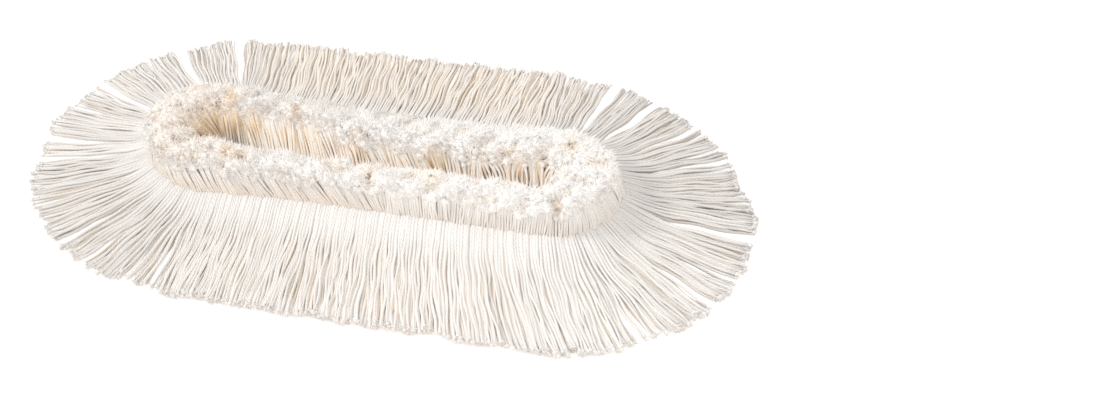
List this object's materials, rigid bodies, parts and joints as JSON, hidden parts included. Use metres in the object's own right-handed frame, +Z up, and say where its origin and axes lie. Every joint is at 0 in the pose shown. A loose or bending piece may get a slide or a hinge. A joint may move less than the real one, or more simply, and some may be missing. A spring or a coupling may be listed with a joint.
{
  "type": "dust mop head",
  "caption": "Round-ended cotton dust mop head: a flat fringe of cut yarns round a canvas back with end pockets for a frame, and a ring of standing yarns round a trough.",
  "frame": {"origin": "on the floor under the middle of the head, which lies on its canvas back", "axes": "+X along the head, +Y across it, +Z up through the standing yarns"},
  "size_m": [0.6104, 0.342, 0.036],
  "materials": {
    "canvas": "plain-weave cotton canvas",
    "binding_tape": "woven cotton tape",
    "fringe_yarn": "plied cotton yarn",
    "pile_yarn": "plied cotton yarn, fluffy cut ends"
  },
  "bodies": {
    "head": {"base_cloth": "canvas", "edge_binding": "binding_tape", "left_pocket": "canvas", "right_pocket": "canvas", "left_fringe_1": "fringe_yarn", "left_fringe_2": "fringe_yarn", "left_fringe_4": "fringe_yarn", "left_fringe_5": "fringe_yarn", "right_fringe_1": "fringe_yarn", "right_fringe_2": "fringe_yarn", "right_fringe_4": "fringe_yarn", "right_fringe_5": "fringe_yarn", "front_pile_1": "pile_yarn", "front_pile_2": "pile_yarn", "front_pile_3": "pile_yarn", "front_pile_4": "pile_yarn", "back_pile_1": "pile_yarn", "back_pile_2": "pile_yarn", "back_pile_3": "pile_yarn", "back_pile_4": "pile_yarn", "left_pile_1": "pile_yarn", "left_pile_2": "pile_yarn", "left_pile_3": "pile_yarn", "right_pile_1": "pile_yarn", "right_pile_2": "pile_yarn", "right_pile_3": "pile_yarn"},
    "front_fringe_flap": {"front_fringe_1": "fringe_yarn", "front_fringe_2": "fringe_yarn", "front_fringe_3": "fringe_yarn", "front_fringe_4": "fringe_yarn", "front_fringe_5": "fringe_yarn"},
    "back_fringe_flap": {"back_fringe_1": "fringe_yarn", "back_fringe_2": "fringe_yarn", "back_fringe_3": "fringe_yarn", "back_fringe_4": "fringe_yarn", "back_fringe_5": "fringe_yarn"},
    "left_fringe_flap": {"left_fringe_3": "fringe_yarn"},
    "right_fringe_flap": {"right_fringe_3": "fringe_yarn"}
  },
  "joints": [
    {"name": "front_fringe_fold", "type": "hinge", "parent": "head", "child": "front_fringe_flap", "pos_m": [0, -0.0683, 0.0082], "axis": [-1, 0, 0], "range_deg": [0, 75]},
    {"name": "back_fringe_fold", "type": "hinge", "parent": "head", "child": "back_fringe_flap", "pos_m": [0, 0.0683, 0.0082], "axis": [1, 0, 0], "range_deg": [0, 75]},
    {"name": "left_fringe_fold", "type": "hinge", "parent": "head", "child": "left_fringe_flap", "pos_m": [-0.2033, 0, 0.0082], "axis": [0, 1, 0], "range_deg": [0, 75]},
    {"name": "right_fringe_fold", "type": "hinge", "parent": "head", "child": "right_fringe_flap", "pos_m": [0.2033, 0, 0.0082], "axis": [0, -1, 0], "range_deg": [0, 75]}
  ]
}
